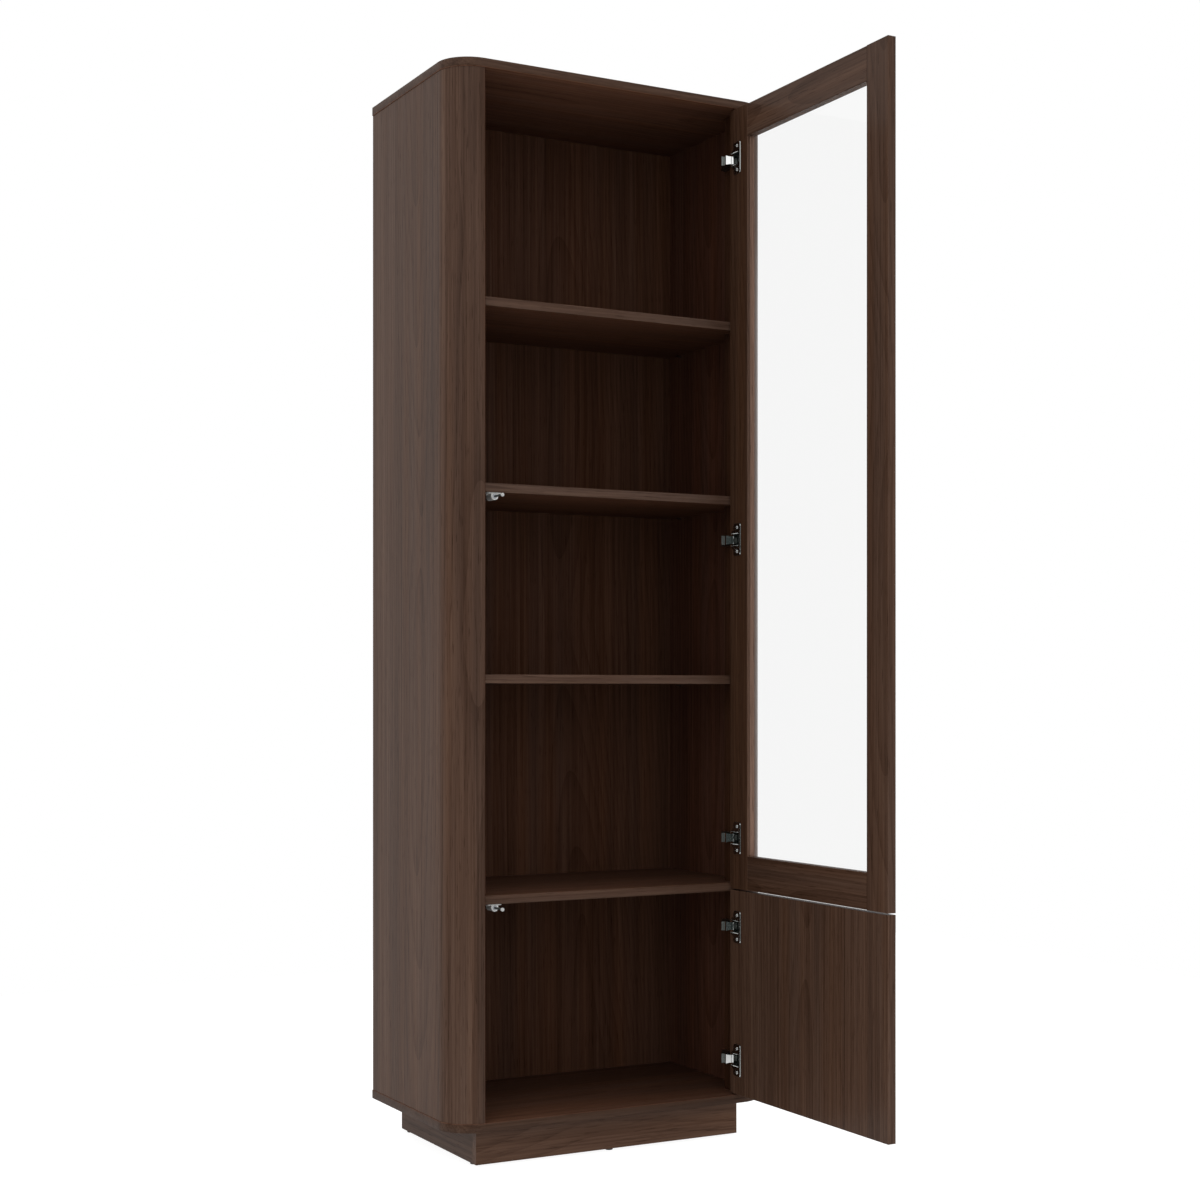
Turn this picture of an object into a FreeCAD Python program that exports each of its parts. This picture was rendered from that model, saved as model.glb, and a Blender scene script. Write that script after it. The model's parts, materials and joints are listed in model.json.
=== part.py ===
import FreeCAD, Part
import math
import os

# A tall display bookcase with rounded front corners, an upper framed glass door, a lower wood door,
# concealed hinges on the right-hand post and push latches on the left.
# Millimetres. X runs to the right, Y to the back, Z up. The origin is on the floor, at the middle glide
# of the front plinth rail. Both doors stand open at a right angle, as left to show the inside.

# Case
overall_height = 1951.0
case_width = 649.0
panel_depth = 388.5
panel_thickness = 16.0
overhang = 1.4
corner_radius = 64.0
side_thickness = 16.0
post_width = 62.5
post_depth = 64.0
back_thickness = 3.0
back_recess = 20.0
back_groove = 8.0
back_clearance = 0.2
edge_ease = 0.6

# Shelves: heights are from the floor to each underside
shelf_thickness = 16.0
shelf_setback = 20.0
shelf_gap = 0.4
upper_shelf_height = 1521.5
middle_shelf_height = 1192.5
lower_shelf_height = 854.0
divider_height = 463.0
shelf_pin_radius = 2.5
shelf_pin_bury = 9.0
shelf_pin_seat = 9.0
shelf_pin_tongue = 3.0
shelf_pin_end = 45.0

# Plinth and glides
plinth_height = 63.0
plinth_thickness = 16.0
plinth_side_inset = 58.5
plinth_front_inset = 30.0
plinth_back_inset = 3.0
glide_height = 3.0
glide_radius = 7.0
glide_end_inset = 27.0
glide_nail_radius = 1.5
glide_nail_length = 14.0

# Dowels
dowel_radius = 4.0
dowel_length = 30.0
dowel_in_panel = 10.0
dowel_clearance = 0.1
dowel_end_room = 0.5
dowel_spread = 120.0
plinth_dowel_inset = 70.0

# Doors
door_thickness = 16.0
door_side_gap = 3.5
door_end_gap = 3.0
door_middle_gap = 2.9
door_split_rise = 5.45
stile_width = 63.0
top_rail_width = 60.0
bottom_rail_width = 63.0
rail_setback = 0.4
glass_thickness = 4.0
glass_groove = 10.0
glass_side_clearance = 0.2
glass_edge_clearance = 0.8
frame_dowel_spread = 28.0

# Hinges: the pivot is placed from the door's hinge edge and outer face
pivot_from_edge = 5.5
pivot_from_face = 6.6
upper_hinge_bottom_inset = 95.0
upper_hinge_top_inset = 93.0
middle_hinge_drop = 68.0
lower_hinge_top_inset = 68.5
lower_hinge_bottom_inset = 64.0
cup_radius = 17.5
cup_depth = 13.0
cup_wall = 0.8
cup_edge_distance = 2.5
cup_clearance = 0.1
rim_width = 1.0
flange_height = 60.0
flange_width = 26.0
flange_edge_distance = 14.0
flange_thickness = 2.0
flange_chamfer = 1.0
flange_corner = 5.0
mouth_room = 2.5
mouth_chamfer = 0.8
notch_depth = 4.0
cup_screw_spacing = 45.0
pin_radius = 1.2
pin_clearance = 0.05
knuckle_wall = 0.75
knuckle_height = 10.0
knuckle_room = 0.4
lug_gap = 0.3
lug_length = 2.2
lug_reach = 2.4
neck_drop = 0.8
neck_thickness = 1.2
neck_height = 14.4
neck_shoulder = 4.2
neck_straight = 6.0
neck_slant = 20.0
link_gap_from_pivot = 10.0
link_gap_width = 1.6
link_gap_depth = 0.5
swing_clearance = 1.1
arm_reach = 20.0
arm_crank = 2.5
arm_lip_reach = 3.5
arm_lip_thickness = 1.5
arm_lip_chamfer = 0.9
arm_height = 17.0
arm_thickness = 2.0
arm_web = 1.5
arm_depth = 11.0
arm_end = 50.0
plate_thickness = 3.0
plate_length = 38.0
plate_side_room = 0.3
plate_block_length = 15.0
plate_screw_inset = 7.6

# Screws
screw_radius = 1.6
screw_head_radius = 3.5
screw_head_height = 1.6
screw_length = 12.0
screw_clearance = 0.1
recess_width = 1.0
recess_depth = 0.9
recess_radius = 2.3
arm_screw_radius = 2.0
arm_screw_length = 5.0

# Push latches
latch_from_post = 29.0
latch_drop = 6.8
latch_travel = 26.0
latch_door_gap = 0.25
latch_tip_radius = 3.2
latch_tip_length = 3.0
latch_tip_wall = 1.4
latch_stem_radius = 2.0
latch_stem_engaged = 22.0
latch_stem_clearance = 0.05
latch_tip_room = 5.0
cartridge_radius = 4.6
cartridge_length = 72.0
cartridge_end_wall = 4.0
cartridge_reach = 0.5
adapter_length = 24.0
adapter_wall = 1.9
adapter_plate_width = 29.0
adapter_plate_thickness = 2.4
adapter_screw_spacing = 20.8

# Places that follow from the sizes above
panel_front = -plinth_front_inset - plinth_thickness / 2
panel_back = panel_front + panel_depth
front = panel_front + overhang
side_outer = case_width / 2
side_inner = side_outer - side_thickness
opening_half = case_width / 2 - post_width
post_back = front + post_depth
back_front = panel_back - back_recess - back_thickness
case_bottom = glide_height + plinth_height
case_floor = case_bottom + panel_thickness
case_ceiling = overall_height - panel_thickness
shelf_front = front + shelf_setback
door_inner = front + door_thickness
hinge_edge = opening_half - door_side_gap
free_edge = -opening_half + door_side_gap
gap_middle = divider_height + door_split_rise
lower_door_bottom = case_floor + door_end_gap
lower_door_top = gap_middle - door_middle_gap / 2
upper_door_bottom = gap_middle + door_middle_gap / 2
upper_door_top = case_ceiling - door_end_gap
pivot_x = hinge_edge - pivot_from_edge
pivot_y = front + pivot_from_face
cup_x = hinge_edge - cup_edge_distance - cup_radius
upper_hinges = [
    upper_door_bottom + upper_hinge_bottom_inset,
    middle_shelf_height - middle_hinge_drop,
    upper_door_top - upper_hinge_top_inset,
]
lower_hinges = [
    lower_door_bottom + lower_hinge_bottom_inset,
    lower_door_top - lower_hinge_top_inset,
]
hinge_names = ["bottom", "middle", "top"]

UP = FreeCAD.Vector(0, 0, 1)
RIGHT = FreeCAD.Vector(1, 0, 0)
LEFT = FreeCAD.Vector(-1, 0, 0)
BACK = FreeCAD.Vector(0, 1, 0)
FRONT = FreeCAD.Vector(0, -1, 0)


def block(x0, x1, y0, y1, z0, z1):
    corner = FreeCAD.Vector(x0, y0, z0)
    return Part.makeBox(x1 - x0, y1 - y0, z1 - z0, corner)


def rod(radius, start, direction, length):
    return Part.makeCylinder(radius, length, start, direction)


def prism(points, z0, z1):
    corners = [FreeCAD.Vector(x, y, z0) for x, y in points]
    outline = Part.makePolygon(corners + corners[:1])
    return Part.Face(outline).extrude(UP * (z1 - z0))


def upright_prism(points, y0, y1):
    """An outline in X and Z, drawn out from front to back."""
    corners = [FreeCAD.Vector(x, y0, z) for x, z in points]
    outline = Part.makePolygon(corners + corners[:1])
    return Part.Face(outline).extrude(BACK * (y1 - y0))


def eased(shape, wanted):
    """Break the edges that a hand touches; wanted says which by the edge's middle."""
    edges = [edge for edge in shape.Edges if wanted(edge.BoundBox.Center)]
    return shape.makeChamfer(edge_ease, edges)


def group(solids):
    return Part.makeCompound(solids)


def mirrored(shape):
    return shape.mirror(FreeCAD.Vector(0, 0, 0), RIGHT)


# Dowels are pairs of a start and a direction; each one is a peg and the hole that it fills
def dowel_pegs(places):
    return [rod(dowel_radius, start, way, dowel_length) for start, way in places]


def dowel_holes(places):
    radius = dowel_radius + dowel_clearance
    length = dowel_length + 2 * dowel_end_room
    return [rod(radius, start - way * dowel_end_room, way, length) for start, way in places]


def case_dowel_places():
    """Upright dowels that tie each side and each post to the top and the bottom panel."""
    middle = (post_back + panel_back) / 2
    side_x = side_outer - side_thickness / 2
    post_x = opening_half + post_width / 2
    plan = [(side_x, middle - dowel_spread), (side_x, middle + dowel_spread)]
    plan.append((post_x, post_back - post_depth / 3))
    places = []
    for sign in (-1, 1):
        for x, y in plan:
            low = FreeCAD.Vector(sign * x, y, case_floor - dowel_in_panel)
            high = FreeCAD.Vector(sign * x, y, case_ceiling + dowel_in_panel)
            places.append((low, UP))
            places.append((high, -UP))
    return places


def divider_dowel_places():
    """Level dowels that carry the divider between the sides."""
    z = divider_height + shelf_thickness / 2
    middle = (post_back + back_front) / 2
    places = []
    for y in (middle - dowel_spread / 2, middle + dowel_spread / 2):
        reach = side_inner + dowel_in_panel
        places.append((FreeCAD.Vector(reach, y, z), LEFT))
        places.append((FreeCAD.Vector(-reach, y, z), RIGHT))
    return places


plinth_half = side_outer + overhang - plinth_side_inset
plinth_front = panel_front + plinth_front_inset
plinth_back = panel_back - plinth_back_inset
plinth_left_middle = -plinth_half + plinth_thickness / 2


def plinth_dowel_places():
    """Upright dowels from the plinth rails into the bottom panel, and level ones at the corners."""
    top = case_bottom + dowel_in_panel
    front_y = plinth_front + plinth_thickness / 2
    back_y = plinth_back - plinth_thickness / 2
    side_y = (plinth_front + plinth_back) / 2
    places = []
    for sign in (-1, 1):
        x = sign * (plinth_half - plinth_dowel_inset)
        places.append((FreeCAD.Vector(x, front_y, top), -UP))
        places.append((FreeCAD.Vector(x, back_y, top), -UP))
        side_x = sign * plinth_left_middle
        places.append((FreeCAD.Vector(side_x, side_y, top), -UP))
        z = glide_height + plinth_height / 2
        places.append((FreeCAD.Vector(side_x, plinth_front + plinth_thickness - dowel_in_panel, z), BACK))
        outer = sign * (plinth_half - plinth_thickness + dowel_in_panel)
        places.append((FreeCAD.Vector(outer, back_y, z), RIGHT * -sign))
    return places


# Case boards
def panel_outline(z):
    """A panel's outline: straight back and sides, rounded front corners."""
    half = side_outer + overhang
    radius = min(corner_radius, half, panel_depth)
    diagonal = radius * (1 - math.sqrt(0.5))
    left_start = FreeCAD.Vector(-half, panel_front + radius, z)
    left_middle = FreeCAD.Vector(-half + diagonal, panel_front + diagonal, z)
    left_end = FreeCAD.Vector(-half + radius, panel_front, z)
    right_start = FreeCAD.Vector(half - radius, panel_front, z)
    right_middle = FreeCAD.Vector(half - diagonal, panel_front + diagonal, z)
    right_end = FreeCAD.Vector(half, panel_front + radius, z)
    back_right = FreeCAD.Vector(half, panel_back, z)
    back_left = FreeCAD.Vector(-half, panel_back, z)
    edges = [
        Part.LineSegment(back_left, left_start).toShape(),
        Part.Arc(left_start, left_middle, left_end).toShape(),
        Part.LineSegment(left_end, right_start).toShape(),
        Part.Arc(right_start, right_middle, right_end).toShape(),
        Part.LineSegment(right_end, back_right).toShape(),
        Part.LineSegment(back_right, back_left).toShape(),
    ]
    return Part.Face(Part.Wire(edges))


back_half = side_inner + back_groove - back_clearance
groove_front = back_front - back_clearance
groove_back = back_front + back_thickness + back_clearance


def panel_board(z):
    """Top or bottom panel, before its groove and holes, with its outer edges eased."""
    board = panel_outline(z).extrude(UP * panel_thickness)
    middle = z + panel_thickness / 2
    return eased(board, lambda place: abs(place.z - middle) > panel_thickness / 4)


def top_panel():
    groove = block(-side_inner - back_groove, side_inner + back_groove, groove_front, groove_back,
                   case_ceiling, case_ceiling + back_groove)
    return panel_board(case_ceiling).cut([groove] + dowel_holes(case_dowel_places()))


def bottom_panel():
    groove = block(-side_inner - back_groove, side_inner + back_groove, groove_front, groove_back,
                   case_floor - back_groove, case_floor)
    holes = dowel_holes(case_dowel_places()) + dowel_holes(plinth_dowel_places())
    return panel_board(case_bottom).cut([groove] + holes)


def right_side():
    board = block(side_inner, side_outer, post_back, panel_back, case_floor, case_ceiling)
    groove = block(side_inner, side_inner + back_groove, groove_front, groove_back, case_floor, case_ceiling)
    holes = dowel_holes(case_dowel_places()) + dowel_holes(divider_dowel_places())
    holes += [rod(shelf_pin_radius + screw_clearance, start, LEFT, shelf_pin_bury)
              for start in right_shelf_pin_places()]
    return board.cut([groove] + holes)


def right_post():
    """A quarter-round post: flat towards the opening and the side, round at the corner of the case."""
    radius = min(corner_radius - overhang, post_width, post_depth)
    diagonal = radius * (1 - math.sqrt(0.5))
    inner_front = FreeCAD.Vector(opening_half, front, case_floor)
    round_start = FreeCAD.Vector(side_outer - radius, front, case_floor)
    round_middle = FreeCAD.Vector(side_outer - diagonal, front + diagonal, case_floor)
    round_end = FreeCAD.Vector(side_outer, front + radius, case_floor)
    outer_back = FreeCAD.Vector(side_outer, post_back, case_floor)
    inner_back = FreeCAD.Vector(opening_half, post_back, case_floor)
    corners = [round_end, outer_back, inner_back, inner_front, round_start]
    edges = [Part.Arc(round_start, round_middle, round_end).toShape()]
    for start, end in zip(corners, corners[1:]):
        if start.distanceToPoint(end) > edge_ease / 10:
            edges.append(Part.LineSegment(start, end).toShape())
    outline = Part.Face(Part.Wire(Part.__sortEdges__(edges)))
    return outline.extrude(UP * (case_ceiling - case_floor)).cut(dowel_holes(case_dowel_places()))


def back_panel():
    low = case_floor - back_groove + back_clearance
    high = case_ceiling + back_groove - back_clearance
    return block(-back_half, back_half, back_front, back_front + back_thickness, low, high)


# Shelves
def shelf_board(z):
    """A shelf is cut round the two posts; it fills the case from the door's back to the back panel."""
    narrow = opening_half - shelf_gap
    wide = side_inner - shelf_gap
    step = post_back + shelf_gap
    back = back_front - shelf_gap
    points = [(-narrow, shelf_front), (narrow, shelf_front), (narrow, step), (wide, step), (wide, back),
              (-wide, back), (-wide, step), (-narrow, step)]
    board = prism(points, z, z + shelf_thickness)
    return eased(board, lambda place: place.y < shelf_front + edge_ease and abs(place.x) < narrow / 2)


loose_shelf_heights = [lower_shelf_height, middle_shelf_height, upper_shelf_height]


def right_shelf_pin_places():
    """The buried end of each pin in the right side, two to a shelf."""
    x = side_inner + shelf_pin_bury
    rows = (post_back + shelf_pin_end, back_front - shelf_pin_end)
    drop = shelf_pin_radius
    return [FreeCAD.Vector(x, y, z - drop) for z in loose_shelf_heights for y in rows]


def shelf_pins():
    """Each pin has a round shank in the side and a flat tongue under the shelf."""
    pins = []
    for start in right_shelf_pin_places():
        shank = rod(shelf_pin_radius, start, LEFT, shelf_pin_bury + shelf_pin_seat / 3)
        tongue = block(side_inner - shelf_pin_seat, side_inner, start.y - shelf_pin_radius,
                       start.y + shelf_pin_radius, start.z + shelf_pin_radius - shelf_pin_tongue,
                       start.z + shelf_pin_radius)
        pin = shank.fuse(tongue).removeSplitter()
        pins.append(pin)
        pins.append(mirrored(pin))
    return group(pins)


def middle_shelf():
    return shelf_board(middle_shelf_height).cut(latch_screw_holes(middle_shelf_height))


def divider_shelf():
    holes = dowel_holes(divider_dowel_places()) + latch_screw_holes(divider_height)
    return shelf_board(divider_height).cut(holes)


# Plinth
def plinth_rail(x0, x1, y0, y1):
    rail = block(x0, x1, y0, y1, glide_height, case_bottom)
    nail_radius = glide_nail_radius + screw_clearance
    nail_holes = [rod(nail_radius, FreeCAD.Vector(x, y, glide_height), UP, glide_nail_length)
                  for x, y in glide_places()]
    return rail.cut(nail_holes + dowel_holes(plinth_dowel_places()))


def plinth_front_rail():
    return plinth_rail(-plinth_half, plinth_half, plinth_front, plinth_front + plinth_thickness)


def plinth_back_rail():
    half = plinth_half - plinth_thickness
    return plinth_rail(-half, half, plinth_back - plinth_thickness, plinth_back)


def plinth_right_rail():
    start = plinth_front + plinth_thickness
    return plinth_rail(plinth_half - plinth_thickness, plinth_half, start, plinth_back)


def glide_places():
    side_x = plinth_half - plinth_thickness / 2
    rows = (plinth_front + glide_end_inset, plinth_back - glide_end_inset)
    places = [(sign * side_x, y) for sign in (-1, 1) for y in rows]
    places.append((0.0, plinth_front + plinth_thickness / 2))
    places.append((0.0, plinth_back - plinth_thickness / 2))
    return places


def glides():
    """Round nail-in glides: a disc with an eased rim, and its nail in the rail."""
    pieces = []
    for x, y in glide_places():
        disc = rod(glide_radius, FreeCAD.Vector(x, y, 0), UP, glide_height)
        rim = [edge for edge in disc.Edges if edge.BoundBox.ZMax < glide_height / 2]
        disc = disc.makeChamfer(edge_ease, rim)
        nail = rod(glide_nail_radius, FreeCAD.Vector(x, y, 0), UP, glide_height + glide_nail_length)
        pieces.append(disc.fuse(nail))
    return group(pieces)


# Doors are made shut and then swung open about their pivot
def opened(shape):
    swung = shape.copy()
    swung.rotate(FreeCAD.Vector(pivot_x, pivot_y, 0), UP, 90)
    return swung


def eased_bar(x0, x1, z0, z1, along):
    """A door member, its long edges eased; along is the axis of its length."""
    bar = block(x0, x1, front, door_inner, z0, z1)
    if along == "z":
        middle = (z0 + z1) / 2
        return eased(bar, lambda place: abs(place.z - middle) < edge_ease)
    middle = (x0 + x1) / 2
    return eased(bar, lambda place: abs(place.x - middle) < edge_ease)


glass_y = front + (door_thickness - glass_thickness) / 2
rail_start = free_edge + stile_width
rail_end = hinge_edge - stile_width
bottom_rail_low = upper_door_bottom + rail_setback
top_rail_low = upper_door_top - rail_setback - top_rail_width
glass_low = bottom_rail_low + bottom_rail_width - glass_groove
glass_high = top_rail_low + glass_groove


def glass_slot():
    """The slot round the pane, cut in all four members of the frame."""
    return block(rail_start - glass_groove, rail_end + glass_groove, glass_y - glass_side_clearance,
                 glass_y + glass_thickness + glass_side_clearance, glass_low, glass_high)


def frame_dowel_places():
    y = front + door_thickness / 2
    middles = (bottom_rail_low + bottom_rail_width / 2, top_rail_low + top_rail_width / 2)
    places = []
    for middle in middles:
        for z in (middle - frame_dowel_spread / 2, middle + frame_dowel_spread / 2):
            places.append((FreeCAD.Vector(rail_start - dowel_length / 2, y, z), RIGHT))
            places.append((FreeCAD.Vector(rail_end + dowel_length / 2, y, z), LEFT))
    return places


def cup_pockets(heights):
    """Holes in a door for the hinge cups and their screws."""
    pockets = []
    for z in heights:
        mouth = FreeCAD.Vector(cup_x, door_inner, z)
        pockets.append(rod(cup_radius + cup_clearance, mouth, FRONT, cup_depth))
        pockets += cup_screw_holes(z)
    return pockets


def free_stile():
    bar = eased_bar(free_edge, rail_start, upper_door_bottom, upper_door_top, "z")
    return bar.cut([glass_slot()] + dowel_holes(frame_dowel_places()))


def hinge_stile():
    bar = eased_bar(rail_end, hinge_edge, upper_door_bottom, upper_door_top, "z")
    return bar.cut([glass_slot()] + dowel_holes(frame_dowel_places()) + cup_pockets(upper_hinges))


def frame_rail(z0, width):
    bar = eased_bar(rail_start, rail_end, z0, z0 + width, "x")
    return bar.cut([glass_slot()] + dowel_holes(frame_dowel_places()))


def glass_pane():
    room = glass_edge_clearance
    return block(rail_start - glass_groove + room, rail_end + glass_groove - room, glass_y,
                 glass_y + glass_thickness, glass_low + room, glass_high - room)


def lower_door_panel():
    slab = block(free_edge, hinge_edge, front, door_inner, lower_door_bottom, lower_door_top)
    slab = slab.makeChamfer(edge_ease, slab.Edges)
    return slab.cut(cup_pockets(lower_hinges))


# Screws: a pan head with a cross recess and a plain shank
def screw(head_seat, way):
    """head_seat is where the head meets the metal; way is the direction of driving."""
    shank = rod(screw_radius, head_seat, way, screw_length)
    top = head_seat - way * screw_head_height
    head = rod(screw_head_radius, top, way, screw_head_height)
    rim = [edge for edge in head.Edges if abs((edge.BoundBox.Center - top).dot(way)) < screw_head_height / 4]
    head = head.makeChamfer(min(edge_ease, screw_head_height / 2), rim)
    half_slot = recess_width / 2
    bar = Part.makeBox(recess_width, 2 * screw_head_radius, recess_depth,
                       FreeCAD.Vector(-half_slot, -screw_head_radius, 0))
    cross = bar.fuse(bar.rotated(FreeCAD.Vector(0, 0, 0), UP, 90))
    ring = rod(recess_radius, FreeCAD.Vector(0, 0, 0), UP, recess_depth)
    cross = cross.common(ring)
    cross.Placement = FreeCAD.Placement(top, FreeCAD.Rotation(UP, way))
    return head.fuse(shank).cut(cross)


def screw_hole(head_seat, way):
    return rod(screw_radius + screw_clearance, head_seat, way, screw_length + screw_clearance)


# Hinge cups and what is fixed to them
flange_x1 = hinge_edge - flange_edge_distance
flange_x0 = flange_x1 - flange_width
flange_face = door_inner + flange_thickness


def cup_screw_seats(z):
    x = (flange_x0 + flange_x1) / 2
    return [FreeCAD.Vector(x, flange_face, z + sign * cup_screw_spacing / 2) for sign in (-1, 1)]


def cup_screw_holes(z):
    return [screw_hole(seat, FRONT) for seat in cup_screw_seats(z)]


def hinge_pin(z):
    half = knuckle_height / 2 + lug_gap + lug_length
    return rod(pin_radius, FreeCAD.Vector(pivot_x, pivot_y, z - half), UP, 2 * half)


def cup_mouth(z):
    """The opening of the cup: a bore between two flats, with a chamfered lip and a notch for the arm."""
    floor = door_inner - cup_depth + cup_wall
    lip = flange_face - mouth_chamfer
    bore = cup_radius - cup_wall
    half = arm_height / 2 + mouth_room
    wide = half + mouth_chamfer
    hollow = rod(bore, FreeCAD.Vector(cup_x, floor, z), BACK, flange_face - floor)
    flats = block(cup_x - cup_radius, cup_x + cup_radius, floor, flange_face, z - half, z + half)
    cone = Part.makeCone(bore, bore + mouth_chamfer, mouth_chamfer, FreeCAD.Vector(cup_x, lip, z), BACK)
    slopes = [(lip, z - half), (flange_face, z - wide), (flange_face, z + wide), (lip, z + half)]
    corners = [FreeCAD.Vector(cup_x - 2 * cup_radius, y, height) for y, height in slopes]
    wedge = Part.Face(Part.makePolygon(corners + corners[:1])).extrude(RIGHT * (4 * cup_radius))
    notch = block(cup_x, hinge_edge, door_inner - notch_depth, flange_face, z - half, z + half)
    return hollow.common(flats).fuse([cone.common(wedge), notch])


def hinge_cup(z):
    """A drawn cup with a screw flange; two lugs by its wall hold the pin."""
    floor = door_inner - cup_depth
    shell = rod(cup_radius, FreeCAD.Vector(cup_x, floor, z), BACK, cup_depth + flange_thickness)
    half = flange_height / 2
    flange = block(flange_x0, flange_x1, door_inner, flange_face, z - half, z + half)
    corners = [edge for edge in flange.Edges if edge.BoundBox.YLength > flange_thickness / 2]
    flange = flange.makeFillet(min(flange_corner, flange_width / 2.1), corners)
    face_edges = [edge for edge in flange.Edges if edge.BoundBox.YMin > flange_face - flange_thickness / 4]
    flange = flange.makeChamfer(min(flange_chamfer, flange_thickness / 2), face_edges)
    rim = rod(cup_radius + rim_width, FreeCAD.Vector(cup_x, door_inner, z), BACK, flange_thickness)
    cup = shell.fuse([flange, rim]).cut(cup_mouth(z))
    near = knuckle_height / 2 + lug_gap
    lugs = [block(pivot_x - lug_reach, hinge_edge, pivot_y - lug_reach, pivot_y + lug_reach,
                  z0, z0 + lug_length)
            for z0 in (z + near, z - near - lug_length)]
    cup = cup.fuse([lug.common(shell) for lug in lugs])
    window = rod(pin_radius + pin_clearance + knuckle_wall + knuckle_room,
                 FreeCAD.Vector(pivot_x, pivot_y, z - near), UP, 2 * near)
    return cup.cut([window, hinge_pin(z)] + cup_screw_holes(z)).removeSplitter()


# Hinge arms, mounting plates and their screws, on the right-hand post
post_face = opening_half
swing_radius = math.hypot(pivot_from_edge, door_thickness - pivot_from_face + flange_thickness)
flare_start = pivot_x - swing_radius - swing_clearance
arm_outer = pivot_x - arm_reach
riser_inner = arm_outer + arm_thickness
jog_front = pivot_y + swing_radius + swing_clearance
arm_web_outer = post_face - arm_depth
arm_web_inner = arm_web_outer + arm_web
arm_back = pivot_y + arm_end
plate_top = post_face - plate_thickness
plate_height = arm_height - 2 * arm_web - 2 * plate_side_room
plate_front = arm_back - plate_length
plate_block_front = plate_front + (plate_length - plate_block_length) / 2


def arm_screw_seats(z):
    """One screw clamps the arm to the plate's block; the other, nearer the door, sets the arm's depth."""
    clamp_y = plate_block_front + plate_block_length / 2
    depth_y = (jog_front + arm_thickness + plate_block_front) / 2
    return [FreeCAD.Vector(arm_web_outer, y, z) for y in (clamp_y, depth_y)]


def arm_screw(seat):
    """A short set screw through the arm's web, with a slotted head."""
    head = rod(screw_head_radius, seat + LEFT * screw_head_height, RIGHT, screw_head_height)
    shank = rod(arm_screw_radius, seat, RIGHT, arm_screw_length)
    slot = block(seat.x - screw_head_height, seat.x - screw_head_height + recess_depth,
                 seat.y - screw_head_radius, seat.y + screw_head_radius,
                 seat.z - recess_width / 2, seat.z + recess_width / 2)
    return head.fuse(shank).cut(slot)


def arm_screw_hole(seat):
    return rod(arm_screw_radius + screw_clearance, seat, RIGHT, arm_screw_length + screw_clearance)


def neck_front(x):
    """Where the neck's front face lies at x: straight out of the cup, then slanting away from the door."""
    slant = max(pivot_x - neck_straight - x, 0) * math.tan(math.radians(neck_slant))
    return pivot_y - neck_drop - neck_thickness + slant


def neck_plan():
    """The neck from above, from the pin to the riser."""
    turns = [pivot_x, pivot_x - neck_straight, arm_outer]
    back = [(x, neck_front(x) + neck_thickness) for x in reversed(turns)]
    return [(x, neck_front(x)) for x in turns] + back


def link_gap(z):
    """The line across the neck's face where its outer link ends."""
    middle = pivot_x - link_gap_from_pivot
    half = link_gap_width / 2
    tall = arm_height / 2
    floor = neck_front(middle) + link_gap_depth
    return block(middle - half, middle + half, floor - arm_reach, floor, z - tall, z + tall)


def arm_lip(z):
    """A stiffening lip across the riser, where it meets the jog, with its outer edge broken."""
    tip = arm_outer - arm_lip_reach
    start = jog_front - arm_lip_thickness
    lip = block(tip, riser_inner, start, jog_front, z - arm_height / 2, z + arm_height / 2)
    boxes = [(edge, edge.BoundBox) for edge in lip.Edges]
    outer = [edge for edge, box in boxes if box.XMax < arm_outer - arm_lip_reach / 2 and box.YMax < jog_front]
    return lip.makeChamfer(min(arm_lip_chamfer, arm_lip_thickness / 2), outer)


def neck_outline(z):
    """The neck from the front: narrow between the lugs, then a waist that flares to the arm's height."""
    steps = [(pivot_x, knuckle_height / 2), (pivot_x - neck_shoulder, knuckle_height / 2),
             (pivot_x - neck_shoulder, neck_height / 2), (flare_start, neck_height / 2),
             (arm_outer, arm_height / 2)]
    return [(x, z + half) for x, half in steps] + [(x, z - half) for x, half in reversed(steps)]


def arm_plan():
    """Riser and jog from above, one strip of even thickness with its corner cut at 45 degrees."""
    start = neck_front(arm_outer)
    jog_back = jog_front + arm_thickness
    inner_crank = max(arm_crank - arm_thickness * (2 - math.sqrt(2)), 0.1 * arm_crank)
    return [(arm_outer, start), (arm_outer, jog_back - arm_crank), (arm_outer + arm_crank, jog_back),
            (plate_top, jog_back), (plate_top, jog_front), (riser_inner + inner_crank, jog_front),
            (riser_inner, jog_front - inner_crank), (riser_inner, start)]


def hinge_arm(z):
    """A pressed arm round the door's edge: knuckle, slanting neck, riser with its lip, jog and a channel."""
    half = knuckle_height / 2
    tall = arm_height / 2
    bore = pin_radius + pin_clearance
    knuckle = rod(bore + knuckle_wall, FreeCAD.Vector(pivot_x, pivot_y, z - half), UP, knuckle_height)
    outline = upright_prism(neck_outline(z), pivot_y - arm_reach, pivot_y + arm_reach)
    neck = prism(neck_plan(), z - tall, z + tall).common(outline).cut(link_gap(z))
    crank = prism(arm_plan(), z - tall, z + tall)
    channel = block(arm_web_outer, plate_top, jog_front, arm_back, z - tall, z + tall)
    inside = block(arm_web_inner, plate_top, jog_front + arm_thickness, arm_back,
                   z - tall + arm_web, z + tall - arm_web)
    arm = knuckle.fuse([neck, crank, arm_lip(z), channel.cut(inside)])
    pin_bore = rod(bore, FreeCAD.Vector(pivot_x, pivot_y, z - half), UP, knuckle_height)
    return arm.cut([pin_bore] + [arm_screw_hole(seat) for seat in arm_screw_seats(z)]).removeSplitter()


def plate_screw_seats(z):
    rows = (plate_front + plate_screw_inset, arm_back - plate_screw_inset)
    return [FreeCAD.Vector(plate_top, y, z) for y in rows]


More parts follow.
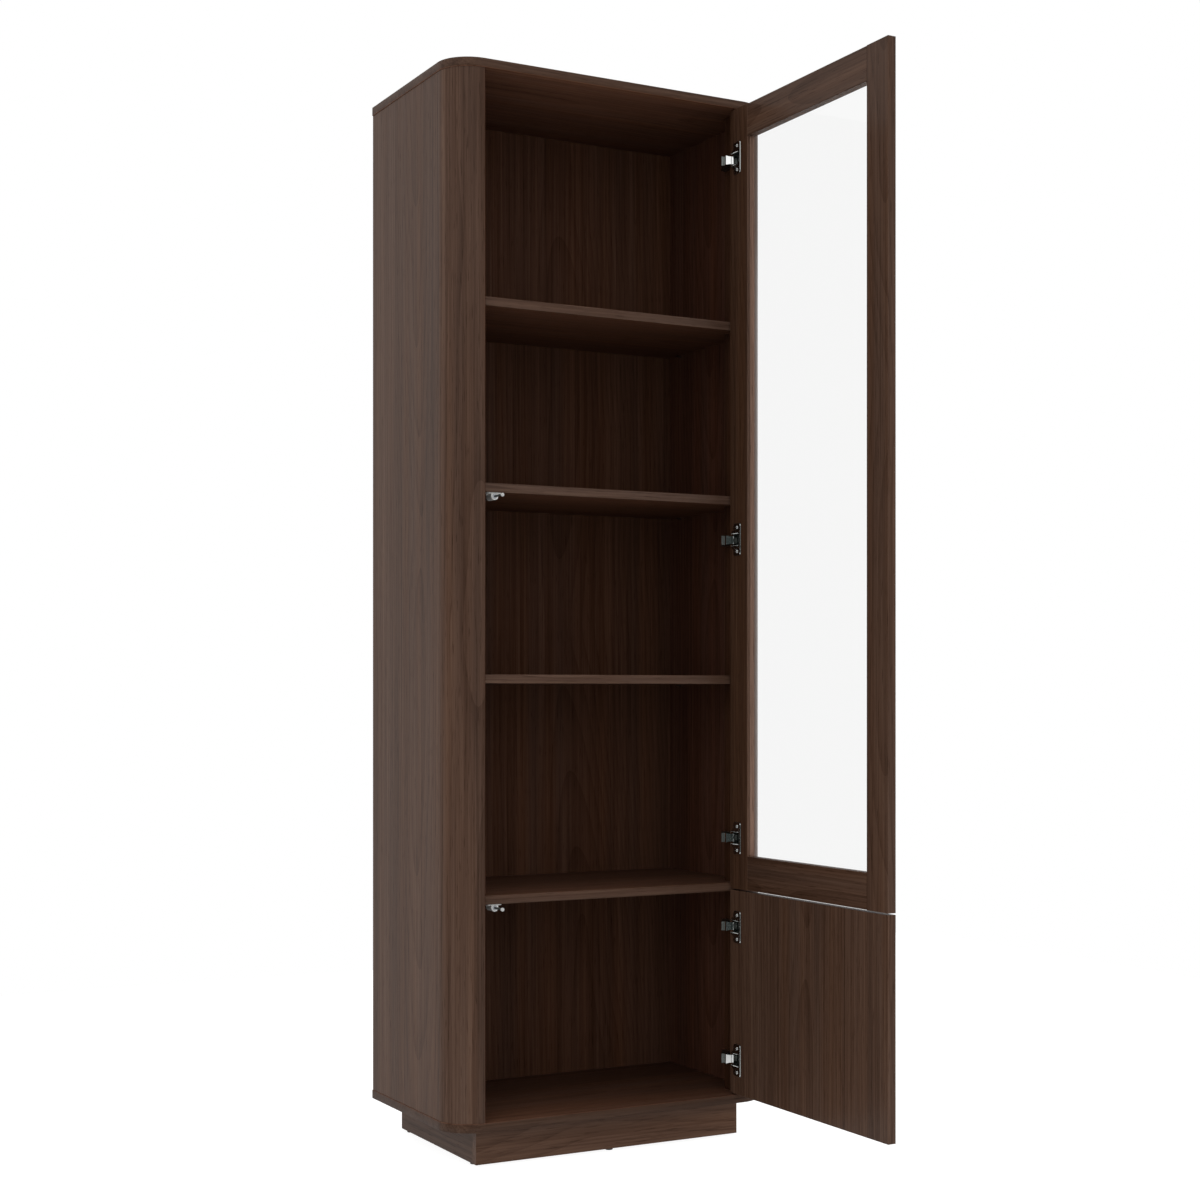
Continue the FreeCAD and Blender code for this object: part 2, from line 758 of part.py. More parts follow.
def mounting_plate(z):
    """A base screwed to the post, with a block under the arm's web that takes the clamp screw."""
    half = plate_height / 2
    base = block(plate_top, post_face, plate_front, arm_back, z - half, z + half)
    rail = block(arm_web_inner, plate_top, plate_block_front, plate_block_front + plate_block_length,
                 z - half, z + half)
    holes = [screw_hole(seat, RIGHT) for seat in plate_screw_seats(z)]
    holes += [arm_screw_hole(seat) for seat in arm_screw_seats(z)]
    return base.fuse(rail).cut(holes).removeSplitter()


def drilled_right_post():
    holes = [screw_hole(seat, RIGHT) for z in upper_hinges + lower_hinges for seat in plate_screw_seats(z)]
    return right_post().cut(holes)


# Push latches under the middle shelf and the divider
latch_x = -opening_half + latch_from_post
tip_shut = door_inner + latch_door_gap
tip_out = tip_shut - latch_travel
cartridge_front = tip_shut + latch_tip_length + latch_tip_room
adapter_front = cartridge_front + cartridge_reach


def latch_screw_seats(underside):
    y = adapter_front + adapter_length / 2
    z = underside - adapter_plate_thickness
    return [FreeCAD.Vector(latch_x + sign * adapter_screw_spacing / 2, y, z) for sign in (-1, 1)]


def latch_screw_holes(underside):
    return [screw_hole(seat, UP) for seat in latch_screw_seats(underside)]


def latch_adapter(underside):
    """A moulded holder: a screw plate against the board and a sleeve that grips the cartridge."""
    axis_z = underside - latch_drop
    outer = cartridge_radius + adapter_wall
    half = adapter_plate_width / 2
    plate = block(latch_x - half, latch_x + half, adapter_front, adapter_front + adapter_length,
                  underside - adapter_plate_thickness, underside)
    corners = [edge for edge in plate.Edges if edge.BoundBox.ZLength > adapter_plate_thickness / 2]
    plate = plate.makeFillet(min(flange_corner, adapter_length / 2.1), corners)
    start = FreeCAD.Vector(latch_x, adapter_front, axis_z)
    sleeve = rod(outer, start, BACK, adapter_length)
    web = block(latch_x - outer, latch_x + outer, adapter_front, adapter_front + adapter_length,
                axis_z, underside)
    bore = rod(cartridge_radius, start, BACK, adapter_length)
    return plate.fuse([sleeve, web]).cut([bore] + latch_screw_holes(underside)).removeSplitter()


def latch_cartridge(underside):
    axis_z = underside - latch_drop
    start = FreeCAD.Vector(latch_x, cartridge_front, axis_z)
    body = rod(cartridge_radius, start, BACK, cartridge_length)
    rear = [edge for edge in body.Edges if edge.BoundBox.YMin > cartridge_front + cartridge_length / 2
            and edge.BoundBox.YLength < edge_ease]
    body = body.makeChamfer(min(2 * edge_ease, cartridge_radius / 2), rear)
    bore = rod(latch_stem_radius + latch_stem_clearance, start, BACK, cartridge_length - cartridge_end_wall)
    return body.cut(bore)


def latch_stem_start(underside):
    return FreeCAD.Vector(latch_x, tip_out + latch_tip_wall, underside - latch_drop)


def latch_plunger(underside):
    """The plain stem that slides in the cartridge; its front end sits in the tip."""
    stem_length = cartridge_front - tip_out - latch_tip_wall + latch_stem_engaged
    return rod(latch_stem_radius, latch_stem_start(underside), BACK, stem_length)


def latch_tip(underside):
    """A soft buffer with a rounded face, pushed on the stem."""
    start = FreeCAD.Vector(latch_x, tip_out, underside - latch_drop)
    tip = rod(latch_tip_radius, start, BACK, latch_tip_length)
    face = [edge for edge in tip.Edges if edge.BoundBox.YMax < tip_out + latch_tip_length / 2]
    tip = tip.makeFillet(min(edge_ease, latch_tip_length / 3), face)
    socket = rod(latch_stem_radius, latch_stem_start(underside), BACK, latch_tip_length)
    return tip.cut(socket)


# The whole bookcase, by piece
pieces = {
    "top_panel": top_panel(),
    "bottom_panel": bottom_panel(),
    "right_side": right_side(),
    "left_side": mirrored(right_side()),
    "right_front_post": drilled_right_post(),
    "left_front_post": mirrored(right_post()),
    "back_panel": back_panel(),
    "upper_shelf": shelf_board(upper_shelf_height),
    "middle_shelf": middle_shelf(),
    "lower_shelf": shelf_board(lower_shelf_height),
    "divider_shelf": divider_shelf(),
    "plinth_front_rail": plinth_front_rail(),
    "plinth_back_rail": plinth_back_rail(),
    "plinth_right_rail": plinth_right_rail(),
    "plinth_left_rail": mirrored(plinth_right_rail()),
    "glides": glides(),
    "case_dowels": group(dowel_pegs(case_dowel_places())),
    "divider_dowels": group(dowel_pegs(divider_dowel_places())),
    "plinth_dowels": group(dowel_pegs(plinth_dowel_places())),
    "shelf_pins": shelf_pins(),
    "glass_door_hinge_stile": opened(hinge_stile()),
    "glass_door_free_stile": opened(free_stile()),
    "glass_door_top_rail": opened(frame_rail(top_rail_low, top_rail_width)),
    "glass_door_bottom_rail": opened(frame_rail(bottom_rail_low, bottom_rail_width)),
    "glass_pane": opened(glass_pane()),
    "frame_dowels": opened(group(dowel_pegs(frame_dowel_places()))),
    "wood_door_slab": opened(lower_door_panel()),
}
for door, heights in (("glass_door", upper_hinges), ("wood_door", lower_hinges)):
    pieces[door + "_hinge_pins"] = opened(group([hinge_pin(z) for z in heights]))
    seats = [seat for z in heights for seat in cup_screw_seats(z)]
    pieces[door + "_cup_screws"] = opened(group([screw(seat, FRONT) for seat in seats]))
    names = hinge_names if len(heights) == len(hinge_names) else ["bottom", "top"]
    for name, z in zip(names, heights):
        pieces[door + "_" + name + "_hinge_cup"] = opened(hinge_cup(z))
        pieces[door + "_" + name + "_hinge_arm"] = hinge_arm(z)
        pieces[door + "_" + name + "_hinge_plate"] = mounting_plate(z)
hinge_heights = upper_hinges + lower_hinges
pieces["plate_screws"] = group([screw(seat, RIGHT) for z in hinge_heights for seat in plate_screw_seats(z)])
pieces["arm_screws"] = group([arm_screw(seat) for z in hinge_heights for seat in arm_screw_seats(z)])
latch_boards = {"upper_latch": middle_shelf_height, "lower_latch": divider_height}
for latch, underside in latch_boards.items():
    pieces[latch + "_adapter"] = latch_adapter(underside)
    pieces[latch + "_cartridge"] = latch_cartridge(underside)
    pieces[latch + "_plunger"] = latch_plunger(underside)
    pieces[latch + "_tip"] = latch_tip(underside)
latch_seats = [seat for underside in latch_boards.values() for seat in latch_screw_seats(underside)]
pieces["latch_screws"] = group([screw(seat, UP) for seat in latch_seats])

os.makedirs("parts", exist_ok=True)
for node, shape in pieces.items():
    shape.exportStep("parts/" + node + ".step")
    state = "valid" if shape.isValid() else "NOT VALID"
    print(node, len(shape.Solids), "solids", round(shape.Volume), "mm3", state)
print("pivot of the doors", pivot_x, pivot_y)
print("latch travel", latch_travel, "from", tip_out, "to", tip_shut)
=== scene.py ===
# %% [markdown]
# # A walnut bookcase with one glass door
#
# This lesson dresses a finished construction model. The boards, doors, hinges and latches already
# exist at their real size, so Blender only adds what the eye reads as wood, glass and steel. Loading
# the model first gives every later step its places: no piece here is measured by hand.

# %% Load the construction
import json
import math

import bpy
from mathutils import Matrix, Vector


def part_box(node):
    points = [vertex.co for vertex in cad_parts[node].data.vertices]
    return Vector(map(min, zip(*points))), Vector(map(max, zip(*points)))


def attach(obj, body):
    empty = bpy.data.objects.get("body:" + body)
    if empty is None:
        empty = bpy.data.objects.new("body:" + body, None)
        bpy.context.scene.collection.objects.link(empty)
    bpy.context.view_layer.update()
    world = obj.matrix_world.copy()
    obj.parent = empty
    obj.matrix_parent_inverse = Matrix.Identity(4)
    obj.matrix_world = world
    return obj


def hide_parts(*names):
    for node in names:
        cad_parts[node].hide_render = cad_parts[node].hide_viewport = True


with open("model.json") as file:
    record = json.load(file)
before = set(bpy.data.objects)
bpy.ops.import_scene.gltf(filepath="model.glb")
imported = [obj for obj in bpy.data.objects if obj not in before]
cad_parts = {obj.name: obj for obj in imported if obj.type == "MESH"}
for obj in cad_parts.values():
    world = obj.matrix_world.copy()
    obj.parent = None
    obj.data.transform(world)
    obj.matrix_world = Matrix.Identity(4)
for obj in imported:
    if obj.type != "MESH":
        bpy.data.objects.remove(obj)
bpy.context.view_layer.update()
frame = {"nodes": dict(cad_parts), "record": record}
nodes = frame["nodes"]

# %% [markdown]
# ## The camera
#
# The view is a level two-point perspective: uprights stay upright, so the camera looks straight ahead
# and the frame is slid with the lens shift instead of being tilted. The eye point, the turn and the
# focal length were found by fitting the edges of the case to the picture, in picture pixels.

# %% Set the camera
PICTURE_SIDE = 1200
FOCAL_PIXELS = 2036.6
CENTRE_COLUMN = 711.25
CENTRE_ROW = 692.4
SENSOR_WIDTH = 36.0
EYE = Vector((-1.7059, -3.3287, 0.8381))
TURN = math.radians(30.01)
QUARTER_TURN = math.radians(90)

camera_data = bpy.data.cameras.new("camera")
camera_data.sensor_width = SENSOR_WIDTH
camera_data.lens = SENSOR_WIDTH * FOCAL_PIXELS / PICTURE_SIDE
camera_data.shift_x = (PICTURE_SIDE / 2 - CENTRE_COLUMN) / PICTURE_SIDE
camera_data.shift_y = (CENTRE_ROW - PICTURE_SIDE / 2) / PICTURE_SIDE
camera = bpy.data.objects.new("camera", camera_data)
camera.location = EYE
camera.rotation_euler = (QUARTER_TURN, 0, -TURN)
bpy.context.scene.collection.objects.link(camera)
bpy.context.scene.camera = camera
lens_shift = [round(camera_data.shift_x, 4), round(camera_data.shift_y, 4)]
print("lens", round(camera_data.lens, 2), "shift", lens_shift)

# %% [markdown]
# ## Writing shaders as sums
#
# A wood finish is mostly arithmetic on noise. It could be wired node by node, but a sum is easier to
# read. So a small class wraps a socket, and Python's own operators add the Math nodes.

# %% A socket that can be added and multiplied
class Strand:
    """A socket of one finish; arithmetic on it adds Math nodes."""

    def __init__(self, finish, socket):
        self.finish = finish
        self.socket = socket

    def work_out(self, operation, first, second=0.0):
        node = self.finish.node("ShaderNodeMath", {"operation": operation}, {0: first, 1: second})
        return node["Value"]

    def __add__(self, other):
        return self.work_out("ADD", self, other)

    def __radd__(self, other):
        return self.work_out("ADD", other, self)

    def __sub__(self, other):
        return self.work_out("SUBTRACT", self, other)

    def __rsub__(self, other):
        return self.work_out("SUBTRACT", other, self)

    def __mul__(self, other):
        return self.work_out("MULTIPLY", self, other)

    def __rmul__(self, other):
        return self.work_out("MULTIPLY", other, self)

    def __pow__(self, other):
        return self.work_out("POWER", self, other)

    def fraction(self):
        return self.work_out("FRACT", self)

    def root(self):
        return self.work_out("SQRT", self)


print("a strand can be added, taken away, multiplied and raised to a power")

# %% [markdown]
# ## One finish, one tree of nodes
#
# Every material here starts with an empty tree and the Object coordinates, and ends in one Principled
# shader. One method adds any node: first its settings, because they decide which sockets it shows, and
# then its values and links. The nodes that come back often have a short method of their own.

# %% A finish and its nodes
class Finish:
    """The nodes of one material, or of the world; node() adds one and gives its outputs by name."""

    def __init__(self, owner):
        self.owner = owner
        owner.use_nodes = True
        self.tree = owner.node_tree
        self.tree.nodes.clear()

    def node(self, kind, settings=None, sockets=None):
        made = self.tree.nodes.new(kind)
        for key, value in (settings or {}).items():
            if key == "stops":
                self.set_stops(made.color_ramp, value)
            else:
                setattr(made, key, value)
        for key, value in (sockets or {}).items():
            if isinstance(value, Strand):
                self.tree.links.new(value.socket, made.inputs[key])
            else:
                made.inputs[key].default_value = value
        return {output.name: Strand(self, output) for output in made.outputs if output.enabled}

    def set_stops(self, ramp, stops):
        while len(ramp.elements) < len(stops):
            ramp.elements.new(1.0)
        for element, (position, colour) in zip(ramp.elements, stops):
            element.position = position
            element.color = (*colour, 1.0)

    def stretch(self, place, counts):
        """A place multiplied by its own count along each axis."""
        return self.node("ShaderNodeVectorMath", {"operation": "MULTIPLY"}, {0: place, 1: counts})["Vector"]

    def split(self, place):
        return self.node("ShaderNodeSeparateXYZ", None, {"Vector": place})

    def noise(self, place, scale=1.0, detail=2.0, roughness=0.5):
        return self.node("ShaderNodeTexNoise", {"noise_dimensions": "3D"}, {
            "Vector": place, "Scale": scale, "Detail": detail, "Roughness": roughness})["Fac"]

    def ease(self, value, start, end):
        """A soft step from 0 at start to 1 at end."""
        return self.node("ShaderNodeMapRange", {"interpolation_type": "SMOOTHSTEP"}, {
            "Value": value, "From Min": start, "From Max": end})["Result"]

    def ramp(self, value, stops):
        return self.node("ShaderNodeValToRGB", {"stops": stops}, {"Fac": value})["Color"]

    def mix(self, share, first, second):
        """The first colour where share is 0, and the second where it is 1."""
        return self.node("ShaderNodeMix", {"data_type": "RGBA"}, {0: share, 6: first, 7: second})["Result"]

    def bump(self, height, strength, distance):
        return self.node("ShaderNodeBump", None, {
            "Height": height, "Strength": strength, "Distance": distance})["Normal"]

    def surface(self, sockets):
        """The shader and the output that end every finish."""
        shader = self.node("ShaderNodeBsdfPrincipled", None, sockets)
        self.node("ShaderNodeOutputMaterial", None, {"Surface": shader["BSDF"]})
        return self.owner


def material_finish(name):
    """The finish of a new material, and its Object coordinates."""
    finish = Finish(bpy.data.materials.new(name))
    return finish, finish.node("ShaderNodeTexCoord")["Object"]


print("methods of a finish", [name for name in vars(Finish) if not name.startswith("_")])

# %% [markdown]
# ## How walnut grows
#
# Each board is a slice of a log. The pith, the middle of the log, lies a hand's breadth behind the
# face and leans a little, so the growth rings come out as long arches in the middle of a board and as
# straight lines at its edges. Over the rings lie streaks, fine fibres and short dark pores, all drawn
# out along the grain. A flat pattern could be wrapped round each board, but its edges would not match
# its faces. Cutting the boards out of a solid log in code makes the end of every line come out right.

# %% Growth rings and drawn-out noise
RINGS_PER_METRE = 105.0
PITH_DEPTH = 0.085
PITH_LEAN = 0.035
CROSS_LEAN = 0.6
SWAY_COUNTS = (2.2, 2.2, 1.1)
SWAY_REACH = 0.11
SWAY_RINGS = 3.0
LATE_WOOD_POWER = 3.0
NOISE_MIDDLE = 0.5
GRAIN_TURNS = {"X": (0, -QUARTER_TURN, 0), "Y": (QUARTER_TURN, 0, 0), "Z": (0, 0, 0)}


def turned(point, grain):
    """A place after the turn that lays the grain along Z."""
    x, y, z = point
    return {"X": Vector((-z, y, x)), "Y": Vector((x, -z, y)), "Z": Vector((x, y, z))}[grain]


def place_in_log(finish, where, node, grain, shift):
    """Places in the log of the board in this node, measured from its pith, with the grain along Z."""
    low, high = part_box(node)
    middle = turned((low + high) / 2, grain)
    size = turned(high - low, grain)
    thin_is_x = abs(size.x) < abs(size.y)
    pith = Vector((PITH_DEPTH, shift, 0)) if thin_is_x else Vector((shift, PITH_DEPTH, 0))
    return finish.node("ShaderNodeMapping", {"vector_type": "POINT"}, {
        "Vector": where, "Rotation": GRAIN_TURNS[grain], "Location": -(middle + pith)})["Vector"]


def late_wood(finish, place):
    """The dark outer part of each growth ring, round a pith that leans and sways."""
    sway = finish.noise(finish.stretch(place, SWAY_COUNTS)) - NOISE_MIDDLE
    parts = finish.split(place)
    lean = parts["Z"] * PITH_LEAN + sway * SWAY_REACH
    x = parts["X"] + lean
    y = parts["Y"] - lean * CROSS_LEAN
    radius = (x * x + y * y).root()
    ring = (radius * RINGS_PER_METRE + sway * SWAY_RINGS).fraction()
    return ring ** LATE_WOOD_POWER


def drawn_noise(finish, place, across, along, detail, roughness):
    """Noise that is drawn out along the grain; across and along are counts to a metre."""
    return finish.noise(finish.stretch(place, (across, across, along)), 1.0, detail, roughness)


print("rings", round(1000 / RINGS_PER_METRE, 1), "mm apart")

# %% [markdown]
# ## Lacquered walnut
#
# The layers of the grain are added up to one number, which a ramp turns into browns. A board's look
# then sets how light, how warm and how glossy it is. One flat face may have a look of its own, and that
# look is painted light and shade: inner faces are painted redder, some darker and some lighter by how
# light falls inside the case, and the front edges of the doors are painted paler as painted light. Inner
# faces also go without the lacquer's gloss. A second material would mean a change to the mesh, which
# stays as it is, so the depth below that face picks the look instead.

# %% The walnut finish
WALNUT_STOPS = [
    (0.00, (0.032, 0.0145, 0.0080)),
    (0.30, (0.053, 0.0265, 0.0160)),
    (0.52, (0.071, 0.0366, 0.0229)),
    (0.75, (0.092, 0.0500, 0.0322)),
    (1.00, (0.124, 0.0720, 0.0485)),
]
# Counts to a metre across and along the grain, then detail and roughness.
GRAIN_LAYERS = {
    "bands": (14.0, 0.6, 2.0, 0.55),
    "streaks": (80.0, 1.1, 2.0, 0.55),
    "lines": (260.0, 2.2, 2.0, 0.60),
    "fibres": (700.0, 7.0, 2.0, 0.65),
    "pores": (520.0, 26.0, 1.0, 0.55),
    "warmth": (28.0, 0.9, 1.0, 0.55),
}
LAYER_SHARES = {"bands": 0.55, "streaks": 0.65, "lines": 0.78, "fibres": 0.52}
MIDDLE_TONE = 0.58
LATE_WOOD_SHARE = 0.20
PORE_SHARE = 0.28
PORE_EDGE = (0.60, 0.72)
WARMTH_SWING = 0.28
WOOD_ROUGHNESS = 0.44
FIBRE_ROUGHNESS = 0.14
PORE_ROUGHNESS = 0.10
WOOD_SPECULAR = 0.03
LACQUER_ROUGHNESS = 0.18
FIBRE_HEIGHT = 0.5
WOOD_RELIEF = 0.22
WOOD_RELIEF_DEPTH = 0.0002
FACE_DEPTH = (0.0004, 0.0015)


def away_from(finish, where, face, depths=FACE_DEPTH):
    """0 on one flat face of a piece and 1 all over the rest of it, deeper than these depths."""
    axis, plane, inwards = face
    depth = (finish.split(where)[axis] - plane) * inwards
    return finish.ease(depth, *depths)


def walnut(name, node, grain, look, shift, face=None, face_look=None):
    """Walnut for the board in this node; shift moves the pith sideways, in metres."""
    finish, where = material_finish(name)
    place = place_in_log(finish, where, node, grain, shift)
    layers = {layer: drawn_noise(finish, place, *counts) for layer, counts in GRAIN_LAYERS.items()}
    pores = finish.ease(layers["pores"], *PORE_EDGE)
    tone = MIDDLE_TONE - late_wood(finish, place) * LATE_WOOD_SHARE - pores * PORE_SHARE
    for layer, share in LAYER_SHARES.items():
        tone = tone + (layers[layer] - NOISE_MIDDLE) * share
    if face:
        away = away_from(finish, where, face)
        look = {key: face_look[key] + away * (look[key] - face_look[key]) for key in look}
    colour = finish.node("ShaderNodeHueSaturation", None, {
        "Color": finish.ramp(tone, WALNUT_STOPS), "Hue": look["hue"], "Value": look["tone"],
        "Saturation": look["warm"] + (layers["warmth"] - NOISE_MIDDLE) * WARMTH_SWING})["Color"]
    roughness = WOOD_ROUGHNESS + layers["fibres"] * FIBRE_ROUGHNESS + pores * PORE_ROUGHNESS
    relief = finish.bump(layers["fibres"] * FIBRE_HEIGHT - pores, WOOD_RELIEF, WOOD_RELIEF_DEPTH)
    return finish.surface({
        "Base Color": colour, "Roughness": roughness, "Normal": relief, "Coat Weight": look["coat"],
        "Coat Roughness": LACQUER_ROUGHNESS, "Specular IOR Level": WOOD_SPECULAR})


print("grain layers", list(GRAIN_LAYERS))

# %% [markdown]
# ## Modelling a board
#
# A board's mesh could be written out corner by corner, but the steps that a hand would take are easier
# to follow. It starts as a cube between two corners, with its place in the mesh, so that the grain on it
# stays where it was put. Edges are picked in code by their middle and their direction, and the bevel
# operator then cuts a large round or a fine edge break.

# %% Helpers for boards
TINY = 1e-5


def box_between(name, low, high):
    """A cube with these lowest and highest corners."""
    bpy.ops.object.select_all(action="DESELECT")
    bpy.ops.mesh.primitive_cube_add(size=1.0, location=(low + high) / 2)
    piece = bpy.context.object
    piece.name = name
    piece.scale = high - low
    bpy.ops.object.transform_apply(location=True, rotation=True, scale=True)
    return piece


def bevel_edges(piece, wanted, width, segments):
    """Bevel the edges that wanted picks by their middle and their direction."""
    bpy.ops.object.mode_set(mode="EDIT")
    bpy.ops.mesh.select_mode(type="EDGE")
    bpy.ops.mesh.select_all(action="DESELECT")
    bpy.ops.object.mode_set(mode="OBJECT")
    corners = piece.data.vertices
    for edge in piece.data.edges:
        first, second = (corners[index].co for index in edge.vertices)
        edge.select = wanted((first + second) / 2, second - first)
    bpy.ops.object.mode_set(mode="EDIT")
    bpy.ops.mesh.bevel(offset=width, segments=segments, profile=0.5, affect="EDGES", clamp_overlap=False)
    bpy.ops.mesh.select_all(action="SELECT")
    bpy.ops.mesh.remove_doubles(threshold=TINY)
    bpy.ops.mesh.normals_make_consistent(inside=False)
    bpy.ops.object.mode_set(mode="OBJECT")


print("places closer than", TINY, "m count as one")

# %% [markdown]
# ## Round posts and panels
#
# The corners of the real case are veneered round a large radius, and the light slides over them
# without a break. The construction shows them as narrow flats. Smooth shading alone would hide the flats
# but leave them in the outline, so these four boards are modelled again at the same size: a box, its
# corner edges beveled to a true round, and on the panels a fine bevel where two faces meet, because no
# wooden edge is perfectly sharp. Smooth shading by angle keeps the flat faces flat.

# %% Model the round boards
ROUND_SEGMENTS = 40
EDGE_BREAK = 0.0006
EDGE_SEGMENTS = 2
SMOOTH_ANGLE = math.radians(30)


def stand_for(piece, node):
    """Smooth a finished case board and let it take the place of its construction node."""
    bpy.ops.object.shade_smooth_by_angle(angle=SMOOTH_ANGLE)
    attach(piece, "carcass")
    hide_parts(node)
    print(piece.name, "faces", len(piece.data.polygons))


def round_post(node, outer_x):
    low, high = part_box(node)
    piece = box_between(node + "_round", low, high)
    bevel_edges(piece, lambda middle, along: abs(along.z) > TINY and abs(middle.x - outer_x) < TINY
                and abs(middle.y - low.y) < TINY, high.x - low.x - EDGE_BREAK, ROUND_SEGMENTS)
    stand_for(piece, node)
    return piece


def round_panel(node, radius):
    low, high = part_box(node)
    piece = box_between(node + "_round", low, high)
    bevel_edges(piece, lambda middle, along: abs(along.z) > TINY and abs(middle.y - low.y) < TINY,
                radius, ROUND_SEGMENTS)
    bevel_edges(piece, lambda middle, along: abs(along.z) < TINY, EDGE_BREAK, EDGE_SEGMENTS)
    stand_for(piece, node)
    return piece


case_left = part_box("left_front_post")[0].x
case_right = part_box("right_front_post")[1].x
panel_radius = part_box("left_front_post")[1].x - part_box("top_panel")[0].x
round_boards = {
    "left_front_post": round_post("left_front_post", case_left),
    "right_front_post": round_post("right_front_post", case_right),
    "top_panel": round_panel("top_panel", panel_radius),
    "bottom_panel": round_panel("bottom_panel", panel_radius),
}

# %% [markdown]
# ## The pane and its seat
#
# In the picture the wood runs on behind the edge of the glass with no dark slot, as it does where a
# pane is bedded in its groove. A pane that ran on into the open groove would show the dark inside of it.
# So the pane is made to end at the mouth of the groove, with polished edges, and a thin wooden seat fills
# the mouth all round. The seat is a box with its two large faces inset and bridged to each other, which
# leaves a flat ring.

# %% Model the pane and its seat
SEAT_DEPTH = 0.0020
SEAT_OVERLAP = 0.0001
SEAT_SETBACK = 0.0008
FACING = 0.5

pane_low, pane_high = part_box("glass_pane")
stile_low, stile_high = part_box("glass_door_hinge_stile")
free_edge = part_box("glass_door_free_stile")[1].y
lower_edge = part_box("glass_door_bottom_rail")[1].z
upper_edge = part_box("glass_door_top_rail")[0].z
opening_low = Vector((pane_low.x, free_edge, lower_edge))
opening_high = Vector((pane_high.x, stile_low.y, upper_edge))

seat_room = Vector((0, SEAT_DEPTH, SEAT_DEPTH))
seat_high = opening_high + seat_room
seat_high.x = stile_high.x - SEAT_SETBACK
pane_seat = box_between("pane_seat", opening_low - seat_room, seat_high)
bpy.ops.object.mode_set(mode="EDIT")
bpy.ops.mesh.select_mode(type="FACE")
bpy.ops.mesh.select_all(action="DESELECT")
bpy.ops.object.mode_set(mode="OBJECT")
for side in pane_seat.data.polygons:
    side.select = abs(side.normal.x) > FACING
bpy.ops.object.mode_set(mode="EDIT")
bpy.ops.mesh.inset(thickness=SEAT_DEPTH + SEAT_OVERLAP, use_individual=True)
bpy.ops.mesh.bridge_edge_loops()
bpy.ops.mesh.select_all(action="SELECT")
bpy.ops.mesh.normals_make_consistent(inside=False)
bpy.ops.object.mode_set(mode="OBJECT")
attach(pane_seat, "glass_door")

clear_pane = box_between("clear_pane", opening_low, opening_high)
bevel_edges(clear_pane, lambda middle, along: True, SEAT_OVERLAP, EDGE_SEGMENTS)
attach(clear_pane, "glass_door")
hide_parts("glass_pane")
print("opening", [round(value, 4) for value in opening_high - opening_low])
print("seat faces", len(pane_seat.data.polygons), "pane faces", len(clear_pane.data.polygons))

# %% [markdown]
# ## The look of each board
#
# Boards of one case differ a little, and the picture shows by how much. A look holds four numbers: the
# tone and the warmth, which multiply the walnut's own, a turn of the hue, with one half for none, and
# the weight of the lacquer. Keeping the looks in two tables shows the whole case at a glance: one look
# for each board, and one for the face that differs, given by its axis and its end of the board.

# %% Looks of boards and faces
LACQUER = 0.12
TRUE_HUE = 0.5
SHADE_RED_HUE = 0.494
DEEP_SHADE_RED_HUE = 0.488


def look_of(tone, warm, hue=TRUE_HUE, coat=LACQUER):
    return {"tone": tone, "warm": warm, "hue": hue, "coat": coat}


def inside(tone, warm, hue=SHADE_RED_HUE):
    """A face inside the case: no lacquer coat, and a tone and a redder hue painted on as light and shade.
    """
    return look_of(tone, warm, hue, 0.0)


SHELF_EDGE = look_of(1.08, 0.90)
BOARD_LOOKS = {
    "left_side": look_of(0.92, 1.0),
    "right_side": look_of(0.92, 1.0),
    "left_front_post": look_of(0.97, 0.95),
    "right_front_post": look_of(0.97, 0.95),
    "back_panel": look_of(0.92, 1.0),
    "top_panel": look_of(0.80, 0.95),
    "bottom_panel": look_of(0.68, 0.95),
    # The shelves take the inside look, painted light and shade, on all but their front edges.
    "upper_shelf": inside(1.16, 1.12),
    "middle_shelf": inside(1.16, 1.12),
    "lower_shelf": inside(0.92, 1.12),
    "divider_shelf": inside(1.03, 1.05),
    # The plinth front's tone is raised as painted light.
    "plinth_front_rail": look_of(1.17, 0.97),
    "plinth_back_rail": look_of(0.99, 1.0),
    "plinth_left_rail": look_of(0.84, 0.99),
    "plinth_right_rail": look_of(0.84, 0.99),
    "glass_door_hinge_stile": look_of(0.75, 1.05),
    "glass_door_free_stile": look_of(0.85, 0.98),
    "glass_door_top_rail": look_of(0.95, 0.98),
    "glass_door_bottom_rail": look_of(0.86, 1.0),
    "wood_door_slab": look_of(0.86, 0.97),
}
# Every face look here is painted light and shade. The inner faces of the sides and the back are painted
# redder, and those of the posts much darker, as painted shade. The underside of the top panel and the floor
# of the case are painted lighter, as painted light. The front edges of the door stiles and of the lower
# door are painted lighter, as painted light. On the shelves the front edge keeps the plain lacquered look.
FACE_LOOKS = {
    "left_side": ("X", 1, inside(1.0, 1.10, DEEP_SHADE_RED_HUE)),
    "right_side": ("X", 0, inside(1.0, 1.10, DEEP_SHADE_RED_HUE)),
    "left_front_post": ("X", 1, inside(0.55, 1.15)),
    "right_front_post": ("X", 0, inside(0.55, 1.15)),
    "back_panel": ("Y", 0, inside(0.90, 1.10)),
    "top_panel": ("Z", 0, inside(1.62, 1.08)),
    "bottom_panel": ("Z", 1, inside(1.12, 1.05)),
    "upper_shelf": ("Y", 0, SHELF_EDGE),
    "middle_shelf": ("Y", 0, SHELF_EDGE),
    "lower_shelf": ("Y", 0, SHELF_EDGE),
    "divider_shelf": ("Y", 0, SHELF_EDGE),
    "glass_door_hinge_stile": ("Y", 0, look_of(1.15, 0.95)),
    "glass_door_free_stile": ("Y", 0, look_of(0.95, 0.92)),
    "wood_door_slab": ("Y", 0, look_of(1.0, 0.91)),
}
print("looks", len(BOARD_LOOKS), "of boards and", len(FACE_LOOKS), "of faces")
